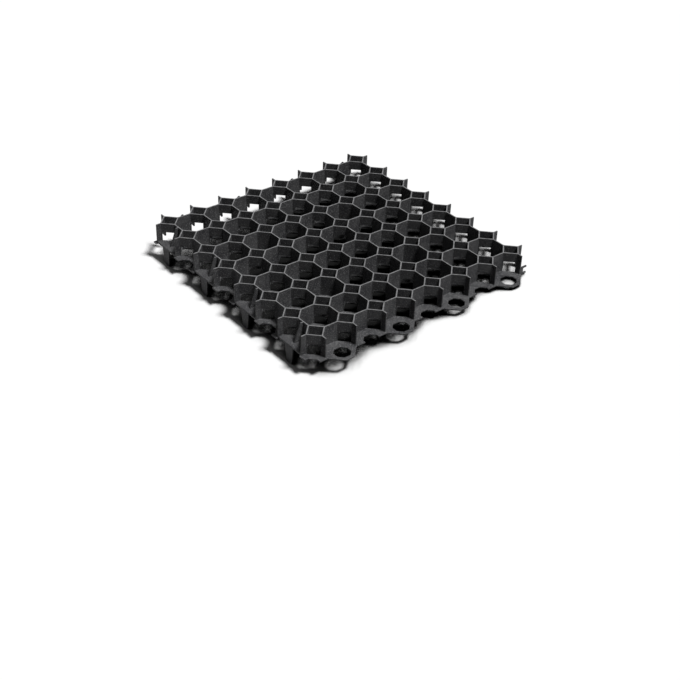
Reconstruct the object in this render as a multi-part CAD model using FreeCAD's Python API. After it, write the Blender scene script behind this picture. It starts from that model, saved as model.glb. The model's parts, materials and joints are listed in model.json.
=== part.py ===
"""Grass paver grid: one moulded plastic slab of octagonal cells with square knots between them.

Frame: millimetres, +Z up. The closed sides face -X and +Y. The open sides, which a neighbouring
grid completes, face +X (coupling loops) and -Y (spikes). The origin is under the middle of the box.
"""
import FreeCAD
import Part

import math
import os

# Cell pattern
columns = 8
rows = 8
cell_pitch = 62.5
wall = 2.2
height = 40.0
open_setback = 3.0
stub_length = 9.5

# Cells that keep all their walls whole, counted from the rear left corner
plain_columns = (2, 5)
plain_rows = (2, 5)

# Floor ring under every cell
floor_thickness = 3.0
ring_hole = 35.0

# Drain notches in the walls between the cells and the square knots
notch_width = 22.0
notch_height = 22.3

# Coupling loops on the right side, and the hooks on the left side that drop into them
loop_hole = 28.0
loop_reach = 20.8
loop_corner_radius = 6.0
hook_play = 2.0
hook_peg = 5.0
hook_shoulder = 6.0
hook_arm_height = 14.0

# Raised plates and gussets in every second front cell, and the spikes under the plates
plate_rise = 1.8
plate_thickness = 3.7
gusset_top = 6.0
gusset_foot = 19.0
spike_length = 29.5
spike_root_left = 13.0
spike_root_right = 9.2
spike_end_left = 7.5
spike_end_right = 6.5
spike_left_radius = 10.0
spike_right_radius = 4.0
spike_thickness = 2.4

# Ledges on the left side and clips on the rear side
ledge_width = 6.5
clip_spine = 7.5
clip_reach = 15.5
clip_prong = 3.5
clip_mouth = 9.0

# Sizes that follow from the ones above
half_x = columns * cell_pitch / 2
half_y = rows * cell_pitch / 2
floor_x = half_x - cell_pitch / 2
floor_y = cell_pitch / 2 - half_y
open_x = floor_x - open_setback
open_y = floor_y + open_setback
plate_top = plate_rise + plate_thickness
octagon_share = math.tan(math.radians(22.5))
cell_apothem = (cell_pitch - wall) / 2
cell_side = 2 * cell_apothem * octagon_share
knot_radius = cell_pitch * (1 - math.sqrt(0.5))
knot_inner = knot_radius - wall / math.sqrt(2)
knot_shoulder = knot_radius + wall / math.sqrt(2) - wall / 2
left_end = -half_x - knot_radius - stub_length
rear_end = half_y + knot_radius + stub_length


def vector(x, y, z=0.0):
    return FreeCAD.Vector(x, y, z)


def column_x(column):
    return (column + 0.5) * cell_pitch - half_x


def row_y(row):
    return half_y - (row + 0.5) * cell_pitch


def knot_centre(column, row):
    """Middle of the square knot at the rear left corner of a cell."""
    return vector(column * cell_pitch - half_x, half_y - row * cell_pitch)


def octagon(x, y, apothem):
    """Corners of an octagon, counter-clockwise from the right-hand side's lower one."""
    short = apothem * octagon_share
    steps = [(apothem, -short), (apothem, short), (short, apothem), (-short, apothem),
             (-apothem, short), (-apothem, -short), (-short, -apothem), (short, -apothem)]
    return [vector(x + dx, y + dy) for dx, dy in steps]


def polygon(points):
    return Part.makePolygon(points + points[:1])


def slab(outline, holes, bottom, top):
    """Flat plate with an outline and holes, from one height to another."""
    plate = Part.Face([polygon(outline)] + [polygon(hole[::-1]) for hole in holes])
    plate.translate(vector(0, 0, bottom))
    return plate.extrude(vector(0, 0, top - bottom))


def closed_sides():
    """Outline along the rear side and down the left side, round the knots and their stubs."""
    points = [vector(open_x, half_y + wall / 2)]
    for column in reversed(range(columns)):
        x = knot_centre(column, 0).x
        points += [vector(x + knot_shoulder, half_y + wall / 2),
                   vector(x + wall / 2, half_y + knot_shoulder),
                   vector(x + wall / 2, rear_end), vector(x - wall / 2, rear_end)]
        if column > 0:
            points += [vector(x - wall / 2, half_y + knot_shoulder),
                       vector(x - knot_shoulder, half_y + wall / 2)]
    for row in range(rows):
        y = knot_centre(0, row).y
        points += [vector(-half_x - wall / 2, y + knot_shoulder),
                   vector(-half_x - knot_shoulder, y + wall / 2),
                   vector(left_end, y + wall / 2), vector(left_end, y - wall / 2),
                   vector(-half_x - knot_shoulder, y - wall / 2),
                   vector(-half_x - wall / 2, y - knot_shoulder)]
    return points + [vector(-half_x - wall / 2, open_y)]


def front_mouth(column, apothem, mouth_y):
    """Rear half of a front cell, open to the front."""
    x = column_x(column)
    rear_half = octagon(x, floor_y, apothem)[1:5]
    return [vector(x - apothem, mouth_y)] + rear_half[::-1] + [vector(x + apothem, mouth_y)]


def right_mouth(row, apothem, mouth_x):
    """Left half of a right-hand cell, open to the right."""
    y = row_y(row)
    left_half = octagon(floor_x, y, apothem)[3:7]
    return [vector(mouth_x, y - apothem)] + left_half[::-1] + [vector(mouth_x, y + apothem)]


def corner_mouth(apothem, mouth_x, mouth_y):
    """Rear left side of the corner cell, which is open to the front and to the right."""
    rear_left = octagon(floor_x, floor_y, apothem)[3:5]
    return [vector(floor_x - apothem, mouth_y)] + rear_left[::-1] + [vector(mouth_x, floor_y + apothem)]


def is_loop_row(row):
    return row % 2 == 0 and row < rows - 1


def is_spike_column(column):
    return column % 2 == 0 and column < columns - 1


def knot_holes():
    holes = []
    for column in range(columns):
        for row in range(rows):
            centre = knot_centre(column, row)
            holes.append([centre + vector(*step) for step in
                          [(knot_inner, 0), (0, knot_inner), (-knot_inner, 0), (0, -knot_inner)]])
    return holes


def closed_cell_holes(apothem):
    return [octagon(column_x(column), row_y(row), apothem)
            for column in range(columns - 1) for row in range(rows - 1)]


def walls():
    """All upright walls at full height."""
    outline = closed_sides()
    for column in range(columns - 1):
        outline += front_mouth(column, cell_apothem, open_y)
    outline += corner_mouth(cell_apothem, open_x, open_y)
    for row in reversed(range(rows - 1)):
        outline += right_mouth(row, cell_apothem, open_x)
    return slab(outline, knot_holes() + closed_cell_holes(cell_apothem), 0, height)


def floor():
    """Floor rings of the cells, with half an eye in right-hand cells and none in the cells over the spikes.

    The rings run on to the middle of the open cells, past the ends of the walls.
    """
    outline = closed_sides()
    for column in range(columns):
        left_wall, right_wall = column_x(column) - cell_apothem, column_x(column) + cell_apothem
        if is_spike_column(column):
            outline += front_mouth(column, cell_apothem, open_y)
        elif column < columns - 1:
            outline += [vector(left_wall - wall, floor_y)] + front_mouth(column, ring_hole / 2, floor_y)
            outline.append(vector(right_wall + wall, floor_y))
        else:
            outline += [vector(left_wall - wall, floor_y)] + corner_mouth(ring_hole / 2, floor_x, floor_y)
    for row in reversed(range(rows - 1)):
        outline += right_mouth(row, loop_hole / 2, floor_x)
    outline.append(vector(floor_x, half_y + wall / 2))
    return slab(outline, knot_holes() + closed_cell_holes(ring_hole / 2), 0, floor_thickness)


def notches():
    """Cutters up from the underside through the walls of the knots, except where they bound a plain cell."""
    side_middle = knot_radius / 2
    cutters = []
    for column in range(columns):
        for row in range(rows):
            for step_x, step_y in [(1, 1), (-1, 1), (-1, -1), (1, -1)]:
                cell_column = column if step_x > 0 else column - 1
                cell_row = row if step_y < 0 else row - 1
                if cell_column in plain_columns and cell_row in plain_rows:
                    continue
                cutter = Part.makeBox(1.5 * wall, notch_width, notch_height, vector(-wall, -notch_width / 2))
                cutter.rotate(vector(0, 0), vector(0, 0, 1), math.degrees(math.atan2(step_y, step_x)))
                cutter.translate(knot_centre(column, row))
                cutter.translate(vector(step_x * side_middle, step_y * side_middle))
                cutters.append(cutter)
    return Part.makeCompound(cutters)


def loop(row):
    """Floor tab round the other half of a loop's eye, with rounded outer corners."""
    y = row_y(row)
    end_half = cell_apothem - loop_reach
    eye = octagon(floor_x, y, loop_hole / 2)
    eye_half = [vector(floor_x, y + loop_hole / 2)] + [eye[2], eye[1], eye[0], eye[7]]
    outline = [vector(floor_x, y - loop_hole / 2), vector(floor_x, y - cell_apothem),
               vector(floor_x + loop_reach, y - end_half), vector(floor_x + loop_reach, y + end_half),
               vector(floor_x, y + cell_apothem)] + eye_half
    tab = slab(outline, [], 0, floor_thickness)
    corners = [edge for edge in tab.Edges if edge.BoundBox.ZLength > floor_thickness / 2
               and edge.BoundBox.XMin > floor_x + loop_reach - wall]
    return tab.makeFillet(loop_corner_radius, corners)


def upright_plate(points, normal):
    """Plate from a profile that stands upright, thickened along its normal."""
    return Part.Face(polygon(points)).extrude(normal)


def spike_plate(column):
    """Whole plate between the walls of a front cell, a little above the floor rings."""
    return slab(front_mouth(column, cell_apothem, open_y)[::-1], [], plate_rise, plate_top)


def gusset(column):
    """Sloping rib in the middle of a front cell, from its rear wall down to the spike plate."""
    x = column_x(column) - wall / 2
    rear = floor_y + cell_pitch / 2
    profile = [(0, height), (gusset_top, height), (gusset_foot, plate_top),
               (gusset_foot, plate_rise), (0, plate_rise)]
    return upright_plate([vector(x, rear - out, z) for out, z in profile], vector(wall, 0, 0))


def spike(column):
    """Tapered tongue with a rounded end that hangs from the front edge of a spike plate."""
    x = column_x(column)
    profile = [(-spike_root_left, plate_top), (-spike_root_left, 0), (-spike_end_left, -spike_length),
               (spike_end_right, -spike_length), (spike_root_right, 0), (spike_root_right, plate_top)]
    blade = upright_plate([vector(x + out, open_y, z) for out, z in profile], vector(0, spike_thickness, 0))
    for out, radius in [(-spike_end_left, spike_left_radius), (spike_end_right, spike_right_radius)]:
        corners = [edge for edge in blade.Edges if edge.BoundBox.ZMax < wall - spike_length
                   and abs(edge.BoundBox.XMin - x - out) < wall and abs(edge.BoundBox.XMax - x - out) < wall]
        blade = blade.makeFillet(radius, corners)
    return blade


def hook(row):
    """Rib with a peg that drops into the eye of the neighbouring grid's loop."""
    y = row_y(row) - wall / 2
    peg_near = half_x - floor_x - loop_hole / 2 + hook_play
    peg_far = peg_near + hook_peg
    arm_bottom = floor_thickness + hook_play
    profile = [(0, height), (hook_shoulder, height), (peg_far, arm_bottom + hook_arm_height), (peg_far, 0),
               (peg_near, 0), (peg_near, arm_bottom), (0, arm_bottom)]
    return upright_plate([vector(-half_x - out, y, z) for out, z in profile], vector(0, wall, 0))


def ledge(row):
    """Floor ledge outside a left-hand cell, which closes the neighbouring grid's open ring."""
    y = row_y(row)
    low = max(y - cell_side / 2, floor_y)
    return Part.makeBox(ledge_width + wall / 2, y + cell_side / 2 - low, floor_thickness,
                        vector(-half_x - wall / 2 - ledge_width, low, 0))


def clip(column):
    """Two-pronged clip on the outside of a rear cell."""
    x = min(column_x(column), open_x - wall / 2) - wall / 2
    clip_top = 2 * clip_prong + clip_mouth
    profile = [(0, 0), (clip_reach, 0), (clip_reach, clip_prong), (clip_spine, clip_prong),
               (clip_spine, clip_prong + clip_mouth), (clip_reach, clip_prong + clip_mouth),
               (clip_reach, clip_top), (0, clip_top)]
    return upright_plate([vector(x, half_y + out, z) for out, z in profile], vector(wall, 0, 0))


def paver_grid():
    """The whole moulding, with its origin under the middle of its box."""
    loop_rows = [row for row in range(rows) if is_loop_row(row)]
    ledge_rows = [row for row in range(rows) if not is_loop_row(row)]
    spike_columns = [column for column in range(columns) if is_spike_column(column)]
    clip_columns = [column for column in range(columns) if not is_spike_column(column)]
    cutters = notches()
    body = walls().cut(cutters)
    added = [floor().cut(cutters)] + [loop(row) for row in loop_rows]
    for column in spike_columns:
        added += [spike_plate(column), gusset(column), spike(column)]
    added += [hook(row) for row in loop_rows] + [ledge(row) for row in ledge_rows]
    added += [clip(column) for column in clip_columns]
    body = body.multiFuse(added).removeSplitter()
    box = body.BoundBox
    body.translate(vector(-box.Center.x, -box.Center.y, -box.ZMin))
    return body.Solids[0] if len(body.Solids) == 1 else body


os.makedirs("parts", exist_ok=True)
grid = paver_grid()
grid.exportStep("parts/paver_grid.step")
box = grid.BoundBox
print("solids", len(grid.Solids), "valid", grid.isValid(), "volume cm3", round(grid.Volume / 1000, 1))
print("box mm", round(box.XLength, 2), round(box.YLength, 2), round(box.ZLength, 2))
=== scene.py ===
"""Dressed model of the grass paver grid: one moulded slab of octagonal cells on a pale studio floor.

Sizes are in millimetres and meshes in metres. The lattice is laid out about its own centre, with the
underside of its floor at height 0, and is then put where the CAD model has it.
"""

import json
import logging
import math
from dataclasses import dataclass, field
from enum import Enum, IntEnum
from typing import Any

import bmesh
import bpy
from mathutils import Matrix, Vector

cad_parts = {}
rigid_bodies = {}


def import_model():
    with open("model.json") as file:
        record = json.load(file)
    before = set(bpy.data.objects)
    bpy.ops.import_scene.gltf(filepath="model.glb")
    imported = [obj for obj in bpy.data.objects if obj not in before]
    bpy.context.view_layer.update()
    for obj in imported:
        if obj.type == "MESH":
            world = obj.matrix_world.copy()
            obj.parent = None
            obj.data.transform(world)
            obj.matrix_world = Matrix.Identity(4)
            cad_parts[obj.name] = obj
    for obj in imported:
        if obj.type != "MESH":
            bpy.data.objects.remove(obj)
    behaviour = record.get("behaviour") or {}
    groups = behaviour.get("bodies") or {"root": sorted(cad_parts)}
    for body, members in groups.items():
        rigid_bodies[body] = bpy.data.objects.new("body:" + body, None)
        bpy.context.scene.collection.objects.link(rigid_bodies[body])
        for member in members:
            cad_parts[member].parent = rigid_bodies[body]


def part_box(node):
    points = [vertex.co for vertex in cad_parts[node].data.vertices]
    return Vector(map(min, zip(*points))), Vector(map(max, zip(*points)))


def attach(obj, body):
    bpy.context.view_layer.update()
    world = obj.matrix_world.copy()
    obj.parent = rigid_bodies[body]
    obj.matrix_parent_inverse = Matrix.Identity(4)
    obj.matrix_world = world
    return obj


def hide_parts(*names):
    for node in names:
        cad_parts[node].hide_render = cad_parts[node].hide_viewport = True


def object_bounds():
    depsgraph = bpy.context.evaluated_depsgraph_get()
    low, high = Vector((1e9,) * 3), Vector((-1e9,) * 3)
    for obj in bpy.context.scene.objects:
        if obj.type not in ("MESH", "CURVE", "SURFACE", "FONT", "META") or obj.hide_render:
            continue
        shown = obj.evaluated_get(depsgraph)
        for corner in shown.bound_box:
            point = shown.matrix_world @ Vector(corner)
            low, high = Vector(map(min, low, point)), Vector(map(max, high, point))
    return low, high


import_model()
CAD_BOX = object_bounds()

MM = 0.001
# Corners closer together than this are one corner.
WELD = 0.01 * MM
# Half a side of a regular octagon, as a share of the distance from its middle to that side.
EIGHTH = math.tan(math.radians(22.5))
NODE = "paver_grid"
PIECE = "paver_moulding"
log = logging.getLogger("paver_grid")

Point = tuple[float, float]
Span = tuple[float, float]
Triple = tuple[float, float, float]


class Zone(IntEnum):
    """What stands on a face of the flat plan."""

    FLOOR = 0
    WALL = 1
    NOTCH = 2


class Tile(IntEnum):
    """Tile of the plan, by the number that the layout rule picks it with."""

    @property
    def label(self) -> str:
        """Name by which tiles sort in the order of their numbers."""
        return f"{type(self).__name__}_{self.value}_{self.name}".lower()


class CellTile(Tile):
    """Tiles of the cells."""

    NOTCHED = 0
    PLAIN = 1
    LOOP = 2
    RIGHT = 3
    BAY = 4
    RING = 5
    FIRST_BAY = 6
    CORNER = 7


class BorderTile(Tile):
    """Tiles of the closed sides."""

    REAR = 0
    LAST_REAR = 1
    CORNER = 2
    LEFT = 3
    LEFT_LEDGE = 4
    LAST_LEFT = 5


class Socket(Enum):
    """Kinds of input that the node trees take."""

    NUMBER = "NodeSocketFloat"
    COUNT = "NodeSocketInt"
    PLACE = "NodeSocketVector"
    OBJECT = "NodeSocketObject"
    TILES = "NodeSocketCollection"
    FINISH = "NodeSocketMaterial"


def linear(hex_colour: str) -> tuple[float, float, float, float]:
    """Turns an sRGB hex colour into linear red, green, blue and alpha.

    Args:
        hex_colour: colour such as "#202122".

    Returns:
        The linear colour, with alpha 1.
    """
    parts = [int(hex_colour[place:place + 2], 16) / 255 for place in (1, 3, 5)]
    red, green, blue = [part / 12.92 if part <= 0.04045 else ((part + 0.055) / 1.055) ** 2.4 for part in parts]
    return red, green, blue, 1.0


def add_node(tree: bpy.types.NodeTree, kind: str, inputs: dict[str, Any] | None = None,
             **settings: Any) -> bpy.types.Node:
    """Adds a node with its settings, and links or sets its inputs.

    Args:
        tree: the tree that gets the node.
        kind: Blender's name for the node.
        inputs: socket identifiers, each with a socket to link, a list of sockets, or a value.
        settings: the node's own properties.

    Returns:
        The new node.
    """
    node = tree.nodes.new(kind)
    for name, value in settings.items():
        setattr(node, name, value)
    for identifier, value in (inputs or {}).items():
        socket = next(item for item in node.inputs if item.identifier == identifier)
        for source in value if isinstance(value, list) else [value]:
            if isinstance(source, bpy.types.NodeSocket):
                tree.links.new(source, socket)
            else:
                socket.default_value = source
    return node


def seen_ray(tree: bpy.types.NodeTree) -> bpy.types.NodeSocket:
    """Tells the rays that show a surface, straight or mirrored, from those that only carry its light on.

    Args:
        tree: the tree that gets the nodes.

    Returns:
        A socket that is 1 for the rays that show the surface and 0 for the others.
    """
    ray = add_node(tree, "ShaderNodeLightPath")
    seen = add_node(tree, "ShaderNodeMath", {
        "Value": ray.outputs["Is Camera Ray"], "Value_001": ray.outputs["Is Glossy Ray"]}, operation="ADD")
    seen = add_node(tree, "ShaderNodeMath", {
        "Value": seen.outputs["Value"], "Value_001": ray.outputs["Is Transmission Ray"]},
        operation="ADD", use_clamp=True)
    return seen.outputs["Value"]


@dataclass(frozen=True)
class MouldedPolyethylene:
    """Black recycled polyethylene as it leaves an injection mould."""

    name: str = "moulded_black_polyethylene"
    body: str = "#38383a"
    cloud: str = "#4e4e4f"
    fleck: str = "#7a7a7b"
    # Lighter grey of the wall tops: rubbing from handling plus a painted highlight.
    rubbed: str = "#8c8c8d"
    ior: float = 1.51
    specular: float = 0.12
    satin: float = 0.40
    dull: float = 0.55
    cloud_mm: float = 34.0
    fleck_mm: float = 1.6
    scuff_mm: float = 7.0
    grain_mm: float = 0.9
    rim_mm: float = 0.5
    cloud_span: Span = (0.35, 0.65)
    fleck_span: Span = (0.54, 0.70)
    fleck_share: float = 0.9
    scuff_span: Span = (0.3, 0.7)
    least_rub: float = 0.25
    grain_strength: float = 0.25
    grain_depth_mm: float = 0.1

    def material(self, rim_height: float) -> bpy.types.Material:
        """Builds the material.

        Args:
            rim_height: height of the tops of the walls in millimetres.

        Returns:
            The material.
        """
        # The skin is a deep neutral black with a weak satin gloss. Cooling leaves broad cloudy bands that
        # differ in tone and gloss, and regrind leaves pale flecks. The tops of the walls are painted lighter: partly
        # grey rubbing from handling, partly a painted highlight where the light falls on them.
        # The flecks and the grain are coarser than the real ones, so that they show in the render.
        material = bpy.data.materials.new(self.name)
        material.use_nodes = True
        tree = material.node_tree
        tree.nodes.clear()
        place = add_node(tree, "ShaderNodeTexCoord").outputs["Object"]
        patterns = ((self.cloud_mm, 3.0), (self.fleck_mm, 1.0), (self.scuff_mm, 4.0), (self.grain_mm, 2.0))
        clouds, flecks, scuffs, grain = [
            add_node(tree, "ShaderNodeTexNoise", {
                "Vector": place, "Scale": 1 / (size * MM), "Detail": detail}).outputs["Fac"]
            for size, detail in patterns]
        banded = add_node(tree, "ShaderNodeMapRange", {
            "Value": clouds, "From Min": self.cloud_span[0], "From Max": self.cloud_span[1]}).outputs["Result"]
        skin = add_node(tree, "ShaderNodeMix", {
            "Factor_Float": banded, "A_Color": linear(self.body), "B_Color": linear(self.cloud)},
            data_type="RGBA").outputs["Result"]
        flecked = add_node(tree, "ShaderNodeMapRange", {
            "Value": flecks, "From Min": self.fleck_span[0], "From Max": self.fleck_span[1],
            "To Max": self.fleck_share}).outputs["Result"]
        skin = add_node(tree, "ShaderNodeMix", {
            "Factor_Float": flecked, "A_Color": skin, "B_Color": linear(self.fleck)},
            data_type="RGBA").outputs["Result"]
        height = add_node(tree, "ShaderNodeSeparateXYZ", {"Vector": place}).outputs["Z"]
        # Painted highlight with rubbing: every wall top is mixed towards the lighter grey, by at least a fixed share
        # and more where the scuff noise is high.
        rim = add_node(tree, "ShaderNodeMapRange", {
            "Value": height, "From Min": (rim_height - self.rim_mm) * MM,
            "From Max": rim_height * MM}).outputs["Result"]
        worn_and_highlit = add_node(tree, "ShaderNodeMapRange", {
            "Value": scuffs, "From Min": self.scuff_span[0], "From Max": self.scuff_span[1],
            "To Min": self.least_rub}).outputs["Result"]
        rubbed = add_node(tree, "ShaderNodeMath", {"Value": rim, "Value_001": worn_and_highlit},
                          operation="MULTIPLY").outputs["Value"]
        colour = add_node(tree, "ShaderNodeMix", {
            "Factor_Float": rubbed, "A_Color": skin, "B_Color": linear(self.rubbed)},
            data_type="RGBA").outputs["Result"]
        gloss = add_node(tree, "ShaderNodeMapRange", {
            "Value": scuffs, "From Min": self.scuff_span[0], "From Max": self.scuff_span[1],
            "To Min": self.satin, "To Max": self.dull}).outputs["Result"]
        bump = add_node(tree, "ShaderNodeBump", {
            "Strength": self.grain_strength, "Distance": self.grain_depth_mm * MM,
            "Height": grain}).outputs["Normal"]
        shader = add_node(tree, "ShaderNodeBsdfPrincipled", {
            "Base Color": colour, "Roughness": gloss, "IOR": self.ior,
            "Specular IOR Level": self.specular, "Normal": bump})
        add_node(tree, "ShaderNodeOutputMaterial", {"Surface": shader.outputs["BSDF"]})
        return material


@dataclass(frozen=True)
class StudioPaper:
    """Matte white paper of a studio floor, with painted shade under the grid."""

    name: str = "matte_white_paper"
    sheet: str = "#fcfcfc"
    covered: str = "#1c1c1c"
    cover_mm: float = 150.0
    cover_span: Span = (0.45, 0.65)

    def material(self) -> bpy.types.Material:
        """Builds the material.

        Returns:
            The material.
        """
        # Uncoated paper scatters light evenly, so that the soft shadow of the grid shows on it. Painted shade: where
        # ambient occlusion finds the grid close above it, the paper is painted dark grey, so that it does not shine up
        # through the cells. It is white to the eye only, so that it does not light the grid's sides from below.
        material = bpy.data.materials.new(self.name)
        material.use_nodes = True
        tree = material.node_tree
        tree.nodes.clear()
        # Painted shade: ambient occlusion within this reach picks out the paper under the grid, which is painted dark.
        open_sky = add_node(tree, "ShaderNodeAmbientOcclusion", {"Distance": self.cover_mm * MM}).outputs["AO"]
        unshaded = add_node(tree, "ShaderNodeMapRange", {
            "Value": open_sky, "From Min": self.cover_span[0], "From Max": self.cover_span[1]})
        white = add_node(tree, "ShaderNodeMath", {"Value": unshaded.outputs["Result"], "Value_001": seen_ray(tree)},
                         operation="MULTIPLY")
        sheet = add_node(tree, "ShaderNodeMix", {
            "Factor_Float": white.outputs["Value"], "A_Color": linear(self.covered), "B_Color": linear(self.sheet)},
            data_type="RGBA")
        paper = add_node(tree, "ShaderNodeBsdfDiffuse", {"Color": sheet.outputs["Result"]})
        add_node(tree, "ShaderNodeOutputMaterial", {"Surface": paper.outputs["BSDF"]})
        return material


@dataclass
class PlanTile:
    """Flat piece of the plan: faces seen from above, each with the zone that stands on it."""

    name: str
    faces: list[tuple[list[Point], Zone]] = field(default_factory=list)

    def put(self, zone: Zone, *points: Point) -> None:
        """Adds a face, with its corners counter-clockwise."""
        self.faces.append((list(points), zone))

    def turned(self, quarters: int) -> "PlanTile":
        """Turns the tile about its origin.

        Args:
            quarters: number of quarter turns, counter-clockwise.

        Returns:
            The turned tile.
        """
        faces = self.faces
        for _ in range(quarters):
            faces = [([(-y, x) for x, y in points], zone) for points, zone in faces]
        return PlanTile(self.name, faces)

    def moved(self, x: float, y: float) -> "PlanTile":
        """Gives the tile moved by x and y."""
        return PlanTile(self.name, [([(px + x, py + y) for px, py in points], zone) for points, zone in self.faces])

    def build(self, collection: bpy.types.Collection) -> None:
        """Makes the tile's mesh, with the zones as a face attribute.

        Args:
            collection: the collection that takes the tile's object.
        """
        mesh = bpy.data.meshes.new(self.name)
        corners = [(x * MM, y * MM, 0.0) for points, _ in self.faces for x, y in points]
        polygons, start = [], 0
        for points, _ in self.faces:
            polygons.append(list(range(start, start + len(points))))
            start += len(points)
        mesh.from_pydata(corners, [], polygons)
        zones = mesh.attributes.new("zone", "INT", "FACE")
        for item, (_, zone) in zip(zones.data, self.faces):
            item.value = int(zone)
        collection.objects.link(bpy.data.objects.new(self.name, mesh))


def joined(name: str, tiles: list[PlanTile]) -> PlanTile:
    """Joins tiles into one.

    Args:
        name: name of the joined tile.
        tiles: the tiles to join.

    Returns:
        The joined tile.
    """
    return PlanTile(name, [face for tile in tiles for face in tile.faces])


@dataclass
class CellPattern:
    """Octagonal cells with square knots between them, drawn as flat tiles about the middle of a cell."""

    columns: int = 8
    rows: int = 8
    pitch: float = 62.5
    wall: float = 2.2
    height: float = 40.0
    floor_thickness: float = 3.0
    open_setback: float = 3.0
    stub_length: float = 9.5
    ring_hole: float = 35.0
    notch_width: float = 22.0
    loop_hole: float = 28.0
    loop_reach: float = 20.8
    loop_corner_radius: float = 6.0
    loop_corner_steps: int = 6
    ledge_width: float = 6.5

    @property
    def middle(self) -> float:
        """Distance from the middle of a cell to the middle of its walls."""
        return self.pitch / 2

    @property
    def apothem(self) -> float:
        """Distance from the middle of a cell to the faces of its walls."""
        return (self.pitch - self.wall) / 2

    @property
    def short(self) -> float:
        """Half the length of a cell's straight wall."""
        return self.apothem * EIGHTH

    @property
    def knot_radius(self) -> float:
        """Distance from the middle of a knot to the middle of its corners."""
        return self.pitch * (1 - math.sqrt(0.5))

    @property
    def knot_inner(self) -> float:
        """Distance from the middle of a knot to the corners of its hole."""
        return self.knot_radius - self.wall / math.sqrt(2)

    @property
    def knot_shoulder(self) -> float:
        """Distance from the middle of a knot to where its outer walls meet a straight wall."""
        return self.knot_radius + self.wall / math.sqrt(2) - self.wall / 2

    @property
    def half_x(self) -> float:
        """Half the width of the lattice."""
        return self.columns * self.pitch / 2

    @property
    def half_y(self) -> float:
        """Half the depth of the lattice."""
        return self.rows * self.pitch / 2

    def notch_ends(self, sum_xy: float) -> tuple[Point, Point]:
        """Finds where a notch cuts the face of a knot wall.

        Args:
            sum_xy: x plus y along that face.

        Returns:
            The end near the y axis and the end near the x axis.
        """
        out = self.notch_width / 2 / math.sqrt(2)
        return (sum_xy / 2 - out, sum_xy / 2 + out), (sum_xy / 2 + out, sum_xy / 2 - out)

    def corner(self, hole: float, notch: Zone = Zone.NOTCH, floor: bool = True) -> PlanTile:
        """Draws the knot wall at the rear right corner of a cell.

        Args:
            hole: size of the hole in the cell's floor.
            notch: what stands between the ends of the knot wall.
            floor: whether the ring of floor beside it is drawn.

        Returns:
            The tile.
        """
        a, s, mid, hole_a = self.apothem, self.short, self.middle, hole / 2
        hole_s = hole_a * EIGHTH
        knot = mid - self.knot_inner
        near_1, near_2 = self.notch_ends(a + s)
        far_1, far_2 = self.notch_ends(mid + knot)
        tile = PlanTile("corner")
        tile.put(Zone.WALL, (s, a), (knot, mid), (s, mid))
        tile.put(Zone.WALL, (a, s), (mid, s), (mid, knot))
        tile.put(Zone.WALL, (s, a), near_1, far_1, (knot, mid))
        tile.put(notch, near_1, near_2, far_2, far_1)
        tile.put(Zone.WALL, near_2, (a, s), (mid, knot), far_2)
        if floor:
            tile.put(Zone.FLOOR, (hole_s, hole_a), (hole_a, hole_s), (a, s), near_2, near_1, (s, a))
        return tile

    def side(self, hole: float, floor: bool = True) -> PlanTile:
        """Draws the straight wall at the rear of a cell.

        Args:
            hole: size of the hole in the cell's floor.
            floor: whether the floor beside it is drawn.

        Returns:
            The tile.
        """
        a, s, mid, hole_a = self.apothem, self.short, self.middle, hole / 2
        hole_s = hole_a * EIGHTH
        tile = PlanTile("side")
        # The corner at x = 0 is shared with border tiles, whose arms meet there.
        tile.put(Zone.WALL, (-s, a), (s, a), (s, mid), (0, mid), (-s, mid))
        if floor:
            tile.put(Zone.FLOOR, (-hole_s, hole_a), (hole_s, hole_a), (s, a), (-s, a))
        return tile

    def half_side(self, right: bool, hole: float = 0.0, strip: bool = True) -> PlanTile:
        """Draws one half of the rear wall of an open cell, which stops short of the middle.

        Args:
            right: whether the right half is drawn.
            hole: size of the hole in the cell's floor, or 0 for no floor beside the wall.
            strip: whether the floor runs on past the end of the wall.

        Returns:
            The tile.
        """
        a, s, mid, end, hole_a = self.apothem, self.short, self.middle, self.open_setback, hole / 2
        hole_s = hole_a * EIGHTH
        faces: list[tuple[list[Point], Zone]] = [([(end, a), (s, a), (s, mid), (end, mid)], Zone.WALL)]
        if strip:
            faces.append(([(0, a), (end, a), (end, mid), (0, mid)], Zone.FLOOR))
        if hole:
            faces.append(([(0, hole_a), (hole_s, hole_a), (s, a), (end, a), (0, a)], Zone.FLOOR))
        if not right:
            faces = [([(-x, y) for x, y in reversed(points)], zone) for points, zone in faces]
        return PlanTile("half_side", faces)

    def loop_tab(self) -> PlanTile:
        """Draws the tab round the outer half of a loop's eye, with rounded outer corners."""
        root, eye_a = self.apothem, self.loop_hole / 2
        eye_s = eye_a * EIGHTH
        radius, end = self.loop_corner_radius, root - self.loop_reach
        mid_y = end - radius * EIGHTH
        turns = [math.radians(45) * step / self.loop_corner_steps for step in range(self.loop_corner_steps + 1)]
        arc = [(self.loop_reach - radius + radius * math.cos(turn), mid_y + radius * math.sin(turn)) for turn in turns]
        mirrored = [(x, -y) for x, y in reversed(arc)]
        tile = PlanTile("loop_tab")
        tile.put(Zone.FLOOR, (0, eye_a), (eye_s, eye_a), (eye_a, eye_s), arc[-1], (0, root))
        tile.put(Zone.FLOOR, (eye_a, eye_s), (eye_a, -eye_s), *mirrored, *arc)
        tile.put(Zone.FLOOR, (eye_a, -eye_s), (eye_s, -eye_a), (0, -eye_a), (0, -root), mirrored[0])
        return tile

    def cell(self, name: str, notch: Zone) -> PlanTile:
        """Draws a whole cell.

        Args:
            name: name of the tile.
            notch: what stands in the middle of its knot walls.

        Returns:
            The tile.
        """
        quarter = joined(name, [self.side(self.ring_hole), self.corner(self.ring_hole, notch)])
        return joined(name, [quarter.turned(quarters) for quarters in range(4)])

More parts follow.
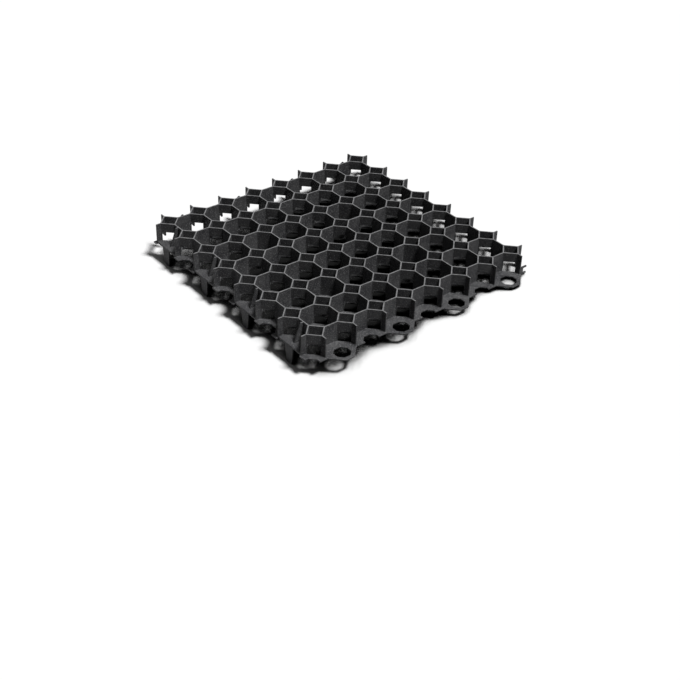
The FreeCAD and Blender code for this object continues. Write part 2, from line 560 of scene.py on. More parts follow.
    def right_cell(self, name: str, with_loop: bool) -> PlanTile:
        """Draws the half of a right-hand cell that the grid has.

        Args:
            name: name of the tile.
            with_loop: whether a loop's tab joins it.

        Returns:
            The tile.
        """
        eye = self.loop_hole
        tiles = [self.half_side(False, eye), self.corner(eye).turned(1), self.side(eye).turned(1),
                 self.corner(eye).turned(2), self.half_side(True, eye).turned(2)]
        return joined(name, tiles + ([self.loop_tab()] if with_loop else []))

    def front_ring(self, name: str) -> PlanTile:
        """Draws the half of a front cell that has an open ring."""
        hole = self.ring_hole
        return joined(name, [self.half_side(True, hole).turned(1), self.corner(hole).turned(1), self.side(hole),
                             self.corner(hole), self.half_side(False, hole).turned(3)])

    def front_bay(self, name: str, left_strip: bool) -> PlanTile:
        """Draws the walls of a front cell that has a raised plate over a spike in place of a floor ring.

        Args:
            name: name of the tile.
            left_strip: whether floor runs on past the end of its left wall.

        Returns:
            The tile.
        """
        corner = self.corner(0.0, floor=False)
        return joined(name, [self.side(0.0, floor=False), corner, corner.turned(1),
                             self.half_side(True, strip=left_strip).turned(1), self.half_side(False).turned(3)])

    def corner_cell(self, name: str) -> PlanTile:
        """Draws the quarter of the cell that is open to the front and to the right."""
        hole = self.ring_hole
        return joined(name, [self.half_side(True, hole).turned(1), self.corner(hole).turned(1),
                             self.half_side(False, hole)])

    def outer_quarter(self, along_x: float, along_y: float) -> PlanTile:
        """Draws one outer side of a knot about its middle, with half of the two arms beside it.

        Args:
            along_x: end of the arm along x.
            along_y: end of the arm along y.

        Returns:
            The tile.
        """
        inner, outer, half = self.knot_inner, self.knot_shoulder, self.wall / 2
        in_1, in_2 = self.notch_ends(inner)
        out_1, out_2 = self.notch_ends(outer + half)
        tile = PlanTile("outer_quarter")
        tile.put(Zone.WALL, (inner, 0), (outer, 0), (outer, half))
        tile.put(Zone.WALL, (inner, 0), (outer, half), out_2, in_2)
        tile.put(Zone.NOTCH, in_2, out_2, out_1, in_1)
        tile.put(Zone.WALL, in_1, out_1, (half, outer), (0, inner))
        tile.put(Zone.WALL, (0, inner), (half, outer), (0, outer))
        tile.put(Zone.WALL, (outer, 0), (along_x, 0), (along_x, half), (outer, half))
        tile.put(Zone.WALL, (0, outer), (half, outer), (half, along_y), (0, along_y))
        return tile

    def border(self, name: str, quarters: dict[int, tuple[float, float]]) -> PlanTile:
        """Draws the outer sides of the knot at a cell's rear left corner.

        Args:
            name: name of the tile.
            quarters: quarter turns of the sides, each with the ends of its arms before the turn.

        Returns:
            The tile.
        """
        sides = [self.outer_quarter(*ends).turned(turns) for turns, ends in quarters.items()]
        return joined(name, sides).moved(-self.middle, self.middle)

    def ledge(self, tile: PlanTile, whole: bool) -> PlanTile:
        """Adds the ledge outside a left-hand cell.

        Args:
            tile: tile that gets the ledge.
            whole: whether it is whole, or cut off at the middle of the open cell.

        Returns:
            The tile with the ledge.
        """
        near = -self.middle - self.wall / 2
        far, s, end = near - self.ledge_width, self.short, self.open_setback
        low = -s if whole else 0.0
        tile.put(Zone.FLOOR, (far, low), (near, low), (near, 0.0 if whole else end), (near, s), (far, s))
        if not whole:
            tile.put(Zone.FLOOR, (near, low), (-self.middle, low), (-self.middle, end), (near, end))
        return tile

    def cell_tiles(self) -> list[PlanTile]:
        """Gives the tiles of the cells, in the order that the layout rule counts them."""
        return [self.cell(CellTile.NOTCHED.label, Zone.NOTCH), self.cell(CellTile.PLAIN.label, Zone.WALL),
                self.right_cell(CellTile.LOOP.label, True), self.right_cell(CellTile.RIGHT.label, False),
                self.front_bay(CellTile.BAY.label, True), self.front_ring(CellTile.RING.label),
                self.front_bay(CellTile.FIRST_BAY.label, False), self.corner_cell(CellTile.CORNER.label)]

    def border_tiles(self) -> list[PlanTile]:
        """Gives the tiles of the closed sides, in the order that the layout rule counts them."""
        mid, stub, cut = self.middle, self.knot_radius + self.stub_length, self.middle - self.open_setback
        last_rear = self.border(BorderTile.LAST_REAR.label, {0: (cut, stub), 1: (stub, mid)})
        last_rear.put(Zone.FLOOR, (-self.open_setback, mid), (0, mid), (0, mid + self.wall / 2),
                      (-self.open_setback, mid + self.wall / 2))
        left = {1: (mid, stub), 2: (stub, mid)}
        return [self.border(BorderTile.REAR.label, {0: (mid, stub), 1: (stub, mid)}), last_rear,
                self.border(BorderTile.CORNER.label, {0: (mid, stub), 1: (stub, stub), 2: (stub, mid)}),
                self.border(BorderTile.LEFT.label, left),
                self.ledge(self.border(BorderTile.LEFT_LEDGE.label, left), True),
                self.ledge(self.border(BorderTile.LAST_LEFT.label, {1: (mid, stub), 2: (stub, cut)}), False)]


def new_tree(name: str, sockets: dict[str, Socket]) -> tuple[bpy.types.NodeTree, dict[str, str], bpy.types.Node]:
    """Starts a Geometry Nodes tree with named inputs.

    Args:
        name: name of the tree.
        sockets: names of the inputs, with their kinds.

    Returns:
        The tree, the identifiers of its inputs by name, and the node that gives their values.
    """
    tree = bpy.data.node_groups.new(name, "GeometryNodeTree")
    tree.interface.new_socket("Geometry", in_out="OUTPUT", socket_type="NodeSocketGeometry")
    known = {label: tree.interface.new_socket(label, in_out="INPUT", socket_type=kind.value).identifier
             for label, kind in sockets.items()}
    return tree, known, add_node(tree, "NodeGroupInput")


def settled(carrier: bpy.types.Object) -> bpy.types.Mesh:
    """Gives what the modifiers of an object make of it.

    Args:
        carrier: the object.

    Returns:
        A plain mesh.
    """
    depsgraph = bpy.context.evaluated_depsgraph_get()
    return bpy.data.meshes.new_from_object(carrier.evaluated_get(depsgraph), depsgraph=depsgraph)


def grown(name: str, tree: bpy.types.NodeTree, known: dict[str, str], values: dict[str, Any]) -> bpy.types.Mesh:
    """Runs a tree and gives its result as a plain mesh.

    Args:
        name: name of the mesh.
        tree: the tree to run.
        known: identifiers of its inputs by name.
        values: values of its inputs by name.

    Returns:
        The mesh.
    """
    carrier = bpy.data.objects.new(name, bpy.data.meshes.new(name))
    bpy.context.scene.collection.objects.link(carrier)
    modifier = carrier.modifiers.new("nodes", "NODES")
    modifier.node_group = tree
    for label, value in values.items():
        modifier[known[label]] = value
    mesh = settled(carrier)
    carrier.modifiers.remove(modifier)
    bpy.data.objects.remove(carrier)
    return mesh


@dataclass
class Lattice:
    """Floor rings, walls and loops of the whole grid, laid out cell by cell and raised from their plan."""

    pattern: CellPattern
    notch_height: float = 22.3
    plain_every: int = 3
    plain_at: int = 2

    def layout(self, tree: bpy.types.NodeTree, given: bpy.types.Node) -> bpy.types.NodeSocket:
        """Adds the nodes that lay the tiles out by column and row and join them into one flat plan.

        Args:
            tree: the tree that gets the nodes.
            given: the node with the tree's inputs.

        Returns:
            The socket with the plan.
        """
        columns, rows = given.outputs["Columns"], given.outputs["Rows"]
        last_column, last_row = [
            add_node(tree, "FunctionNodeIntegerMath", {"Value": count, "Value_001": 1},
                     operation="SUBTRACT").outputs["Value"] for count in (columns, rows)]
        spans = [add_node(tree, "ShaderNodeMath", {"Value": last, "Value_001": given.outputs["Pitch"]},
                          operation="MULTIPLY").outputs["Value"] for last in (last_column, last_row)]
        points = add_node(tree, "GeometryNodeMeshGrid", {
            "Size X": spans[0], "Size Y": spans[1], "Vertices X": columns, "Vertices Y": rows}).outputs["Mesh"]
        index = add_node(tree, "GeometryNodeInputIndex").outputs["Index"]
        column, upward = [
            add_node(tree, "FunctionNodeIntegerMath", {"Value": index, "Value_001": rows},
                     operation=operation).outputs["Value"] for operation in ("DIVIDE_FLOOR", "FLOORED_MODULO")]
        row = add_node(tree, "FunctionNodeIntegerMath", {"Value": last_row, "Value_001": upward},
                       operation="SUBTRACT").outputs["Value"]
        tests = {}
        for label, count, last in (("column", column, last_column), ("row", row, last_row)):
            tests[label + " odd"], rest = [
                add_node(tree, "FunctionNodeIntegerMath", {"Value": count, "Value_001": divisor},
                         operation="FLOORED_MODULO").outputs["Value"]
                for divisor in (2, given.outputs["Plain Every"])]
            for test, value, goal in (("last", count, last), ("first", count, 0), ("plain", rest, self.plain_at)):
                tests[f"{label} {test}"] = add_node(tree, "FunctionNodeCompare", {"A_INT": value, "B_INT": goal},
                                                    data_type="INT", operation="EQUAL").outputs["Result"]
        plain = add_node(tree, "FunctionNodeBooleanMath", {
            "Boolean": tests["column plain"], "Boolean_001": tests["row plain"]},
            operation="AND").outputs["Boolean"]
        # Tiles that alternate along a side have numbers in a row, so that the odd ones take the next.
        right, front, left = [
            add_node(tree, "FunctionNodeIntegerMath", {"Value": tests[odd], "Value_001": even.value},
                     operation="ADD").outputs["Value"]
            for odd, even in (("row odd", CellTile.LOOP), ("column odd", CellTile.BAY), ("row odd", BorderTile.LEFT))]
        number = {"plain": plain, "right": right, "front": front, "left": left, "rear": tests["column last"],
                  "first bay": CellTile.FIRST_BAY.value, "corner": CellTile.CORNER.value,
                  "last left": BorderTile.LAST_LEFT.value, "rear corner": BorderTile.CORNER.value}
        for result, test, other, chosen in (
                ("front", "column first", "front", "first bay"), ("upper", "column last", "plain", "right"),
                ("lower", "column last", "front", "corner"), ("cell", "row last", "upper", "lower"),
                ("left", "row last", "left", "last left"), ("rear", "column first", "rear", "rear corner"),
                ("edge", "row first", "left", "rear")):
            number[result] = add_node(tree, "GeometryNodeSwitch", {
                "Switch": tests[test], "False": number[other], "True": number[chosen]},
                input_type="INT").outputs["Output"]
        outside = add_node(tree, "FunctionNodeBooleanMath", {
            "Boolean": tests["column first"], "Boolean_001": tests["row first"]},
            operation="OR").outputs["Boolean"]
        laid = []
        for tiles, result, chosen in (("Cell Tiles", "cell", True), ("Border Tiles", "edge", outside)):
            kinds = add_node(tree, "GeometryNodeCollectionInfo", {
                "Collection": given.outputs[tiles], "Separate Children": True, "Reset Children": True})
            laid.append(add_node(tree, "GeometryNodeInstanceOnPoints", {
                "Points": points, "Selection": chosen, "Instance": kinds.outputs["Instances"],
                "Pick Instance": True, "Instance Index": number[result]}).outputs["Instances"])
        plan = add_node(tree, "GeometryNodeJoinGeometry", {"Geometry": laid}).outputs["Geometry"]
        plan = add_node(tree, "GeometryNodeRealizeInstances", {"Geometry": plan}).outputs["Geometry"]
        return add_node(tree, "GeometryNodeMergeByDistance", {
            "Geometry": plan, "Distance": WELD}).outputs["Geometry"]

    def raised(self, tree: bpy.types.NodeTree, given: bpy.types.Node,
               plan: bpy.types.NodeSocket) -> bpy.types.NodeSocket:
        """Adds the nodes that raise the plan into floor, lower walls, upper walls and lintels.

        Args:
            tree: the tree that gets the nodes.
            given: the node with the tree's inputs.
            plan: the flat plan.

        Returns:
            The socket with the closed shell.
        """
        zone = add_node(tree, "GeometryNodeInputNamedAttribute", {"Name": "zone"},
                        data_type="INT").outputs["Attribute"]
        is_wall, is_notch, is_upright = [
            add_node(tree, "FunctionNodeCompare", {"A_INT": zone, "B_INT": int(value)}, data_type="INT",
                     operation=test).outputs["Result"]
            for value, test in ((Zone.WALL, "EQUAL"), (Zone.NOTCH, "EQUAL"), (Zone.FLOOR, "GREATER_THAN"))]
        floor, lintel = given.outputs["Floor Thickness"], given.outputs["Notch Height"]
        low_rise = add_node(tree, "ShaderNodeMath", {"Value": lintel, "Value_001": floor},
                            operation="SUBTRACT").outputs["Value"]
        rise = add_node(tree, "ShaderNodeMath", {"Value": given.outputs["Height"], "Value_001": lintel},
                        operation="SUBTRACT").outputs["Value"]
        lift = add_node(tree, "ShaderNodeCombineXYZ", {"Z": lintel}).outputs["Vector"]
        up = (0.0, 0.0, 1.0)
        ground = add_node(tree, "GeometryNodeSeparateGeometry", {
            "Geometry": plan, "Selection": is_notch}, domain="FACE").outputs["Inverted"]
        underside = add_node(tree, "GeometryNodeFlipFaces", {"Mesh": ground}).outputs["Mesh"]
        slab = add_node(tree, "GeometryNodeExtrudeMesh", {
            "Mesh": ground, "Offset": up, "Offset Scale": floor, "Individual": False})
        footing = add_node(tree, "FunctionNodeBooleanMath", {
            "Boolean": slab.outputs["Top"], "Boolean_001": is_wall}, operation="AND").outputs["Boolean"]
        lower = add_node(tree, "GeometryNodeExtrudeMesh", {
            "Mesh": slab.outputs["Mesh"], "Selection": footing, "Offset": up,
            "Offset Scale": low_rise, "Individual": False})
        lower = add_node(tree, "GeometryNodeDeleteGeometry", {
            "Geometry": lower.outputs["Mesh"], "Selection": lower.outputs["Top"]}, domain="FACE")
        upright = add_node(tree, "GeometryNodeSeparateGeometry", {
            "Geometry": plan, "Selection": is_upright}, domain="FACE").outputs["Selection"]
        upright = add_node(tree, "GeometryNodeTransform", {
            "Geometry": upright, "Translation": lift}).outputs["Geometry"]
        upper = add_node(tree, "GeometryNodeExtrudeMesh", {
            "Mesh": upright, "Offset": up, "Offset Scale": rise, "Individual": False}).outputs["Mesh"]
        lintels = add_node(tree, "GeometryNodeSeparateGeometry", {
            "Geometry": upright, "Selection": is_notch}, domain="FACE").outputs["Selection"]
        lintels = add_node(tree, "GeometryNodeFlipFaces", {"Mesh": lintels}).outputs["Mesh"]
        shell = add_node(tree, "GeometryNodeJoinGeometry", {
            "Geometry": [underside, lower.outputs["Geometry"], upper, lintels]}).outputs["Geometry"]
        return add_node(tree, "GeometryNodeMergeByDistance", {
            "Geometry": shell, "Distance": WELD}).outputs["Geometry"]

    def build(self, place: Vector, finish: bpy.types.Material) -> bpy.types.Mesh:
        """Lays the tiles out and raises them.

        Args:
            place: where the middle of the lattice's underside goes, in metres.
            finish: the material.

        Returns:
            The mesh.
        """
        tiles = {}
        for label, kinds in (("Cell Tiles", self.pattern.cell_tiles()), ("Border Tiles", self.pattern.border_tiles())):
            tiles[label] = bpy.data.collections.new(label)
            for tile in kinds:
                tile.build(tiles[label])
        tree, known, given = new_tree("paver lattice", {
            "Cell Tiles": Socket.TILES, "Border Tiles": Socket.TILES, "Columns": Socket.COUNT, "Rows": Socket.COUNT,
            "Plain Every": Socket.COUNT, "Pitch": Socket.NUMBER, "Floor Thickness": Socket.NUMBER,
            "Notch Height": Socket.NUMBER, "Height": Socket.NUMBER, "Place": Socket.PLACE, "Finish": Socket.FINISH})
        shell = self.raised(tree, given, self.layout(tree, given))
        shell = add_node(tree, "GeometryNodeTransform", {
            "Geometry": shell, "Translation": given.outputs["Place"]}).outputs["Geometry"]
        shell = add_node(tree, "GeometryNodeRealizeInstances", {"Geometry": shell}).outputs["Geometry"]
        shell = add_node(tree, "GeometryNodeSetMaterial", {
            "Geometry": shell, "Material": given.outputs["Finish"]}).outputs["Geometry"]
        add_node(tree, "NodeGroupOutput", {tree.interface.items_tree["Geometry"].identifier: shell})
        mesh = grown("lattice", tree, known, {
            **tiles, "Columns": self.pattern.columns, "Rows": self.pattern.rows, "Plain Every": self.plain_every,
            "Pitch": self.pattern.pitch * MM, "Floor Thickness": self.pattern.floor_thickness * MM,
            "Notch Height": self.notch_height * MM, "Height": self.pattern.height * MM, "Place": place,
            "Finish": finish})
        for collection in tiles.values():
            for tile in list(collection.objects):
                bpy.data.objects.remove(tile)
            bpy.data.collections.remove(collection)
        return mesh


@dataclass
class PlateRow:
    """Row of like plates along a side of the grid."""

    name: str
    profile: list[Triple]
    thickness: Triple
    start: Triple
    step: Triple
    count: int

    def build(self, place: Vector, finish: bpy.types.Material) -> bpy.types.Mesh:
        """Makes the row from its profile.

        Args:
            place: where the middle of the lattice's underside goes, in metres.
            finish: the material.

        Returns:
            The mesh.
        """
        outline = bpy.data.meshes.new(self.name)
        outline.from_pydata([[value * MM for value in point] for point in self.profile], [],
                            [list(range(len(self.profile)))])
        profile = bpy.data.objects.new(self.name, outline)
        bpy.context.scene.collection.objects.link(profile)
        tree, known, given = new_tree("plate row", {
            "Profile": Socket.OBJECT, "Count": Socket.COUNT, "Start": Socket.PLACE, "Step": Socket.PLACE,
            "Thickness": Socket.PLACE, "Finish": Socket.FINISH})
        line = add_node(tree, "GeometryNodeMeshLine", {
            "Count": given.outputs["Count"], "Start Location": given.outputs["Start"],
            "Offset": given.outputs["Step"]}, mode="OFFSET").outputs["Mesh"]
        shape = add_node(tree, "GeometryNodeObjectInfo", {"Object": given.outputs["Profile"]}).outputs["Geometry"]
        faces = add_node(tree, "GeometryNodeInstanceOnPoints", {"Points": line, "Instance": shape}).outputs["Instances"]
        faces = add_node(tree, "GeometryNodeRealizeInstances", {"Geometry": faces}).outputs["Geometry"]
        body = add_node(tree, "GeometryNodeExtrudeMesh", {
            "Mesh": faces, "Offset": given.outputs["Thickness"], "Individual": False}).outputs["Mesh"]
        back = add_node(tree, "GeometryNodeFlipFaces", {"Mesh": faces}).outputs["Mesh"]
        plates = add_node(tree, "GeometryNodeJoinGeometry", {"Geometry": [body, back]}).outputs["Geometry"]
        plates = add_node(tree, "GeometryNodeMergeByDistance", {
            "Geometry": plates, "Distance": WELD}).outputs["Geometry"]
        plates = add_node(tree, "GeometryNodeRealizeInstances", {"Geometry": plates}).outputs["Geometry"]
        plates = add_node(tree, "GeometryNodeSetMaterial", {
            "Geometry": plates, "Material": given.outputs["Finish"]}).outputs["Geometry"]
        add_node(tree, "NodeGroupOutput", {tree.interface.items_tree["Geometry"].identifier: plates})
        mesh = grown(self.name, tree, known, {
            "Profile": profile, "Count": self.count, "Start": Vector(self.start) * MM + place,
            "Step": Vector(self.step) * MM, "Thickness": Vector(self.thickness) * MM, "Finish": finish})
        bpy.data.objects.remove(profile)
        return mesh


@dataclass
class Fittings:
    """Plates, gussets and spikes on the front side, hooks on the left side and clips on the rear side.

    Each starts by its root inside the wall or plate that carries it, and stays shy of the faces beside it.
    """

    pattern: CellPattern
    root: float = 0.5
    shy: float = 0.2
    plate_rise: float = 1.8
    plate_thickness: float = 3.7
    gusset_top: float = 6.0
    gusset_foot: float = 19.0
    spike_length: float = 29.5
    spike_root_left: float = 13.0
    spike_root_right: float = 9.2
    spike_end_left: float = 7.5
    spike_end_right: float = 6.5
    spike_left_radius: float = 10.0
    spike_right_radius: float = 4.0
    spike_thickness: float = 2.4
    spike_corner_steps: int = 8
    hook_play: float = 2.0
    hook_peg: float = 5.0
    hook_shoulder: float = 6.0
    hook_arm_height: float = 14.0
    clip_spine: float = 7.5
    clip_reach: float = 15.5
    clip_prong: float = 3.5
    clip_mouth: float = 9.0

    def rounded(self, before: Point, corner: Point, after: Point, radius: float) -> list[Point]:
        """Rounds a corner of a profile.

        Args:
            before: the point before the corner.
            corner: the corner.
            after: the point after it.
            radius: radius of the rounding.

        Returns:
            Points along the rounding.
        """
        here = Vector(corner)
        to_before, to_after = (Vector(before) - here).normalized(), (Vector(after) - here).normalized()
        half_turn = to_before.angle(to_after) / 2
        middle = here + (to_before + to_after).normalized() * (radius / math.sin(half_turn))
        first = (here + to_before * (radius / math.tan(half_turn)) - middle).normalized()
        last = (here + to_after * (radius / math.tan(half_turn)) - middle).normalized()
        return [tuple(middle + radius * first.slerp(last, step / self.spike_corner_steps))
                for step in range(self.spike_corner_steps + 1)]

    @property
    def plate_top(self) -> float:
        """Height of the top of the spike plates."""
        return self.plate_rise + self.plate_thickness

    def front_row(self, name: str, profile: list[Triple],
                  thickness: Triple) -> PlateRow:
        """Repeats a plate in every second front cell.

        Args:
            name: name of the row.
            profile: outline of the plate about the middle of the cell.
            thickness: direction and length of the plate's thickness.

        Returns:
            The row.
        """
        pattern = self.pattern
        start = (pattern.middle - pattern.half_x, pattern.middle - pattern.half_y, 0.0)
        return PlateRow(name, profile, thickness, start, (2 * pattern.pitch, 0.0, 0.0), pattern.columns // 2)

    def spike_plates(self) -> PlateRow:
        """Gives the raised plates that close the cells over the spikes."""
        side = self.pattern.middle
        short, front = side * EIGHTH, self.pattern.open_setback + self.shy
        outline = [(-side, front), (side, front), (side, short), (short, side), (-short, side), (-side, short)]
        return self.front_row("spike_plates", [(x, y, self.plate_rise) for x, y in outline],
                              (0.0, 0.0, self.plate_thickness))

    def gussets(self) -> PlateRow:
        """Gives the sloping ribs between the spike plates and the rear walls of their cells."""
        middle, half_wall = self.pattern.middle, self.pattern.wall / 2
        rear, low, top = self.pattern.apothem + self.root, self.plate_top - self.root, self.pattern.height - self.shy
        outline = [(rear, low), (rear, top), (middle - self.gusset_top, top),
                   (middle - self.gusset_foot, self.plate_top), (middle - self.gusset_foot, low)]
        return self.front_row("gussets", [(-half_wall, y, z) for y, z in outline], (2 * half_wall, 0.0, 0.0))

    def spikes(self) -> PlateRow:
        """Gives the tapered tongues under every second front cell."""
        top, tip = self.plate_rise + self.plate_thickness / 2, -self.spike_length
        root_left, end_left = (-self.spike_root_left, 0.0), (-self.spike_end_left, tip)
        end_right, root_right = (self.spike_end_right, tip), (self.spike_root_right, 0.0)
        outline = [(-self.spike_root_left, top), root_left]
        outline += self.rounded(root_left, end_left, end_right, self.spike_left_radius)
        outline += self.rounded(end_left, end_right, root_right, self.spike_right_radius)
        outline += [root_right, (self.spike_root_right, top)]
        front = self.pattern.open_setback + 2 * self.shy
        return self.front_row("spikes", [(x, front, z) for x, z in reversed(outline)],
                              (0.0, self.spike_thickness, 0.0))

    def hooks(self) -> PlateRow:
        """Gives the ribs with pegs outside every second left-hand cell."""
        pattern = self.pattern
        near = pattern.middle - pattern.loop_hole / 2 + self.hook_play
        far, arm = near + self.hook_peg, pattern.floor_thickness + self.hook_play
        wall_face, top = pattern.wall / 2 - self.root, pattern.height - self.shy
        outline = [(wall_face, top), (self.hook_shoulder, top), (far, arm + self.hook_arm_height), (far, 0.0),
                   (near, 0.0), (near, arm), (wall_face, arm)]
        return PlateRow("hooks", [(-out, 0.0, z) for out, z in reversed(outline)], (0.0, pattern.wall, 0.0),
                        (-pattern.half_x, pattern.half_y - pattern.middle - pattern.wall / 2, 0.0),
                        (0.0, -2 * pattern.pitch, 0.0), pattern.rows // 2)

    def clip_outline(self) -> list[Triple]:
        """Gives the outline of a clip, seen from the side."""
        wall_face, spine, reach = self.pattern.wall / 2 - self.root, self.clip_spine, self.clip_reach
        mouth_low, mouth_high = self.clip_prong, self.clip_prong + self.clip_mouth
        top = mouth_high + self.clip_prong
        outline = [(wall_face, self.shy), (reach, self.shy), (reach, mouth_low), (spine, mouth_low),
                   (spine, mouth_high), (reach, mouth_high), (reach, top), (wall_face, top)]
        return [(0.0, out, z) for out, z in outline]

    def clips(self) -> list[PlateRow]:
        """Gives the two-pronged clips outside every second rear cell; the last one stands at the open side."""
        pattern = self.pattern
        first = 1.5 * pattern.pitch - pattern.half_x - pattern.wall / 2
        last = pattern.half_x - pattern.middle - pattern.open_setback - pattern.wall
        across = (pattern.wall, 0.0, 0.0)
        return [PlateRow("clips", self.clip_outline(), across, (first, pattern.half_y, 0.0),
                         (2 * pattern.pitch, 0.0, 0.0), pattern.columns // 2 - 1),
                PlateRow("last_clip", self.clip_outline(), across, (last, pattern.half_y, 0.0), (0.0, 0.0, 0.0), 1)]


@dataclass
class Moulding:
    """The whole grid as it leaves the mould, with rounded edges."""

    lattice: Lattice
    fittings: Fittings
    finish: MouldedPolyethylene
    edge_radius: float = 0.3
    lip_radius: float = 1.0
    lip_limit: float = 4.0
    edge_steps: int = 3
    edge_angle: float = 35.0
    upright_limit: float = 0.1

    def place(self) -> Vector:
        """Gives where the middle of the lattice's underside lies in the CAD frame, in metres."""
        low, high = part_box(NODE)
        pattern = self.lattice.pattern
        right = pattern.half_x - pattern.middle + pattern.loop_reach
        front = pattern.middle - pattern.half_y
        return Vector((high[0] - right * MM, low[1] - front * MM, low[2] + self.fittings.spike_length * MM))

    def build(self) -> bpy.types.Object:
        """Builds the grid as one piece.

        Returns:
            The piece.
        """
        place = self.place()
        rim = place.z / MM + self.lattice.pattern.height
        material = self.finish.material(rim)
        rows = [self.fittings.spike_plates(), self.fittings.gussets(), self.fittings.spikes(),
                self.fittings.hooks(), *self.fittings.clips()]
        meshes = [self.lattice.build(place, material)] + [row.build(place, material) for row in rows]
        body = bmesh.new()
        for mesh in meshes:
            body.from_mesh(mesh)
            bpy.data.meshes.remove(mesh)
        whole = bpy.data.meshes.new("moulding")
        open_edges = sum(not edge.is_manifold for edge in body.edges)
        log.info("moulding before rounding: %d faces, %d open edges", len(body.faces), open_edges)
        self.weigh_edges(body)
        body.to_mesh(whole)
        body.free()
        whole.materials.append(material)
        piece = bpy.data.objects.new(PIECE, whole)
        bpy.context.scene.collection.objects.link(piece)
        self.round_edges(piece)
        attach(piece, "root")
        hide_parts(NODE)
        return piece

    def is_lip(self, face: bmesh.types.BMFace) -> bool:
        """Tells whether a face is the free edge of a floor ring, loop or plate.

        Args:
            face: the face.

        Returns:
            True for a low upright face with nothing standing on its upper corners.
        """
        heights = [corner.co.z for corner in face.verts]
        top = max(heights)
        upright = abs(face.normal.z) < self.upright_limit and top - min(heights) < self.lip_limit * MM
        return upright and all(edge.other_vert(corner).co.z < top + self.edge_radius * MM
                               for corner in face.verts if corner.co.z > top - self.edge_radius * MM
                               for edge in corner.link_edges)

    def weigh_edges(self, body: bmesh.types.BMesh) -> None:
        """Sets how far each edge is rounded: lips by the lip radius, other sharp edges by the edge radius.

        Args:
            body: the mesh, whose edges get the weights that the rounding reads.
        """
        weight = body.edges.layers.float.new("bevel_weight_edge")
        sharp = [edge for edge in body.edges
                 if edge.is_manifold and edge.calc_face_angle() > math.radians(self.edge_angle)]
        for edge in sharp:
            level = abs(edge.verts[0].co.z - edge.verts[1].co.z) < self.edge_radius * MM
            lip = level and edge.is_convex and any(self.is_lip(face) for face in edge.link_faces)
            edge[weight] = 1.0 if lip else self.edge_radius / self.lip_radius

    def round_edges(self, piece: bpy.types.Object) -> None:
        """Rounds the edges of the piece and keeps the result as its own mesh.

        Args:
            piece: the piece.
        """
        piece.data.shade_smooth()
        bevel = piece.modifiers.new("rounded_edges", "BEVEL")
        bevel.width = self.lip_radius * MM
        bevel.segments = self.edge_steps
        bevel.limit_method = "WEIGHT"
        bevel.use_clamp_overlap = False
        bevel.harden_normals = True
        rounded = settled(piece)
        piece.modifiers.remove(bevel)
        sharp, piece.data = piece.data, rounded
        bpy.data.meshes.remove(sharp)
        rounded.name = PIECE
        triangles = sum(len(polygon.vertices) - 2 for polygon in rounded.polygons)
        log.info("moulding after rounding: %d triangles", triangles)


@dataclass(frozen=True)
class SoftLamp:
    """Wide far lamp: its bearing from +X towards +Y, its elevation and its width in degrees, and its strength."""

    name: str
    bearing: float
    elevation: float
    width: float
    strength: float

    def build(self) -> None:
        """Hangs the lamp so that it shines on the grid."""
        lamp = bpy.data.lights.new(self.name, "SUN")
        lamp.energy, lamp.angle = self.strength, math.radians(self.width)
        holder = bpy.data.objects.new(self.name, lamp)
        turn, rise = math.radians(self.bearing), math.radians(self.elevation)
        towards = Vector((math.cos(turn) * math.cos(rise), math.sin(turn) * math.cos(rise), math.sin(rise)))
        holder.location = towards
        holder.rotation_euler = towards.to_track_quat("Z", "Y").to_euler()
        bpy.context.scene.collection.objects.link(holder)


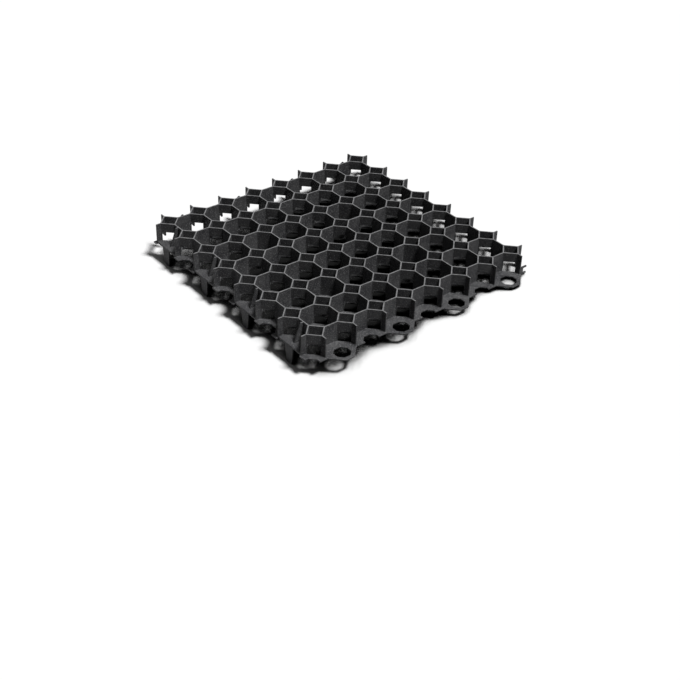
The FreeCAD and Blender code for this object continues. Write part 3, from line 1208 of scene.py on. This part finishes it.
@dataclass
class Studio:
    """Pale floor, soft light and a camera at the photograph's viewing angle.

    The camera's distance and how far it stands aside are counted in cell pitches.
    """

    paper: StudioPaper
    floor_size: float = 12000.0
    floor_play: float = 0.5
    spike_setback: float = 3.0
    rear_gap: float = 29.5
    rear_play: float = 1.0
    azimuth: float = 50.489
    elevation: float = 34.729
    roll: float = 2.136
    distance: float = 34.541
    aside: Point = (0.1342, -2.6339)
    focal_pixels: float = 1219.9
    frame_pixels: int = 680
    sensor_width: float = 36.0
    fill: float = 0.06
    key: SoftLamp = SoftLamp("key", bearing=27.0, elevation=65.0, width=12.0, strength=3.5)

    def build_floor(self) -> None:
        """Lays the floor under the tips of the spikes and the rear edge, as the grid comes to rest."""
        low, high = CAD_BOX
        front, rear = low[1] + self.spike_setback * MM, high[1]
        slope = (self.rear_gap - self.rear_play) * MM / (rear - front)
        half = self.floor_size * MM / 2
        corners = [(x, y, (y - front) * slope - self.floor_play * MM) for x, y in
                   ((-half, -half), (half, -half), (half, half), (-half, half))]
        mesh = bpy.data.meshes.new("studio_floor")
        mesh.from_pydata(corners, [], [(0, 1, 2, 3)])
        mesh.materials.append(self.paper.material())
        floor = bpy.data.objects.new("studio_floor", mesh)
        bpy.context.scene.collection.objects.link(floor)

    def build_world(self) -> None:
        """Surrounds the grid with white that fills the shadows, and that the camera sees as plain white."""
        world = bpy.data.worlds.new("white_surround")
        world.use_nodes = True
        tree = world.node_tree
        tree.nodes.clear()
        strength = add_node(tree, "ShaderNodeMapRange", {
            "Value": seen_ray(tree), "To Min": self.fill, "To Max": 1.0})
        white = add_node(tree, "ShaderNodeBackground", {
            "Color": (1.0, 1.0, 1.0, 1.0), "Strength": strength.outputs["Result"]})
        add_node(tree, "ShaderNodeOutputWorld", {"Surface": white.outputs["Background"]})
        bpy.context.scene.world = world

    def build_camera(self, target: Vector, pitch: float) -> None:
        """Sets the camera up.

        Args:
            target: middle of the tops of the walls, in metres.
            pitch: the cell pitch, in metres, which the distances are counted in.
        """
        turn, rise, tilt = (math.radians(angle) for angle in (self.azimuth, self.elevation, self.roll))
        back = Vector((math.sin(turn) * math.cos(rise), -math.cos(turn) * math.cos(rise), math.sin(rise)))
        right = Vector((math.cos(turn), math.sin(turn), 0.0))
        up = back.cross(right)
        across = math.cos(tilt) * right + math.sin(tilt) * up
        upward = -math.sin(tilt) * right + math.cos(tilt) * up
        axes = Matrix((across, upward, back)).transposed()
        lens = bpy.data.cameras.new("camera")
        lens.sensor_width = self.sensor_width
        lens.lens = self.focal_pixels / self.frame_pixels * lens.sensor_width
        camera = bpy.data.objects.new("camera", lens)
        offset = axes @ Vector((self.aside[0], self.aside[1], self.distance)) * pitch
        camera.matrix_world = Matrix.Translation(target + offset) @ axes.to_4x4()
        bpy.context.scene.collection.objects.link(camera)
        bpy.context.scene.camera = camera

    def build(self, target: Vector, pitch: float) -> None:
        """Builds floor, lamp, surround and camera.

        Args:
            target: middle of the tops of the walls, in metres.
            pitch: the cell pitch, in metres.
        """
        self.build_floor()
        self.key.build()
        self.build_world()
        self.build_camera(target, pitch)
        bpy.context.scene.view_settings.view_transform = "Standard"


def main() -> None:
    """Builds the grid and the studio."""
    logging.basicConfig(level=logging.INFO, format="%(name)s: %(message)s")
    pattern = CellPattern()
    moulding = Moulding(Lattice(pattern), Fittings(pattern), MouldedPolyethylene())
    piece = moulding.build()
    log.info("%s: %d faces", piece.name, len(piece.data.polygons))
    target = moulding.place() + Vector((0.0, 0.0, pattern.height * MM))
    Studio(StudioPaper()).build(target, pattern.pitch * MM)
    log.info("studio: floor, lamp, surround and camera")


if __name__ == "__main__":
    main()
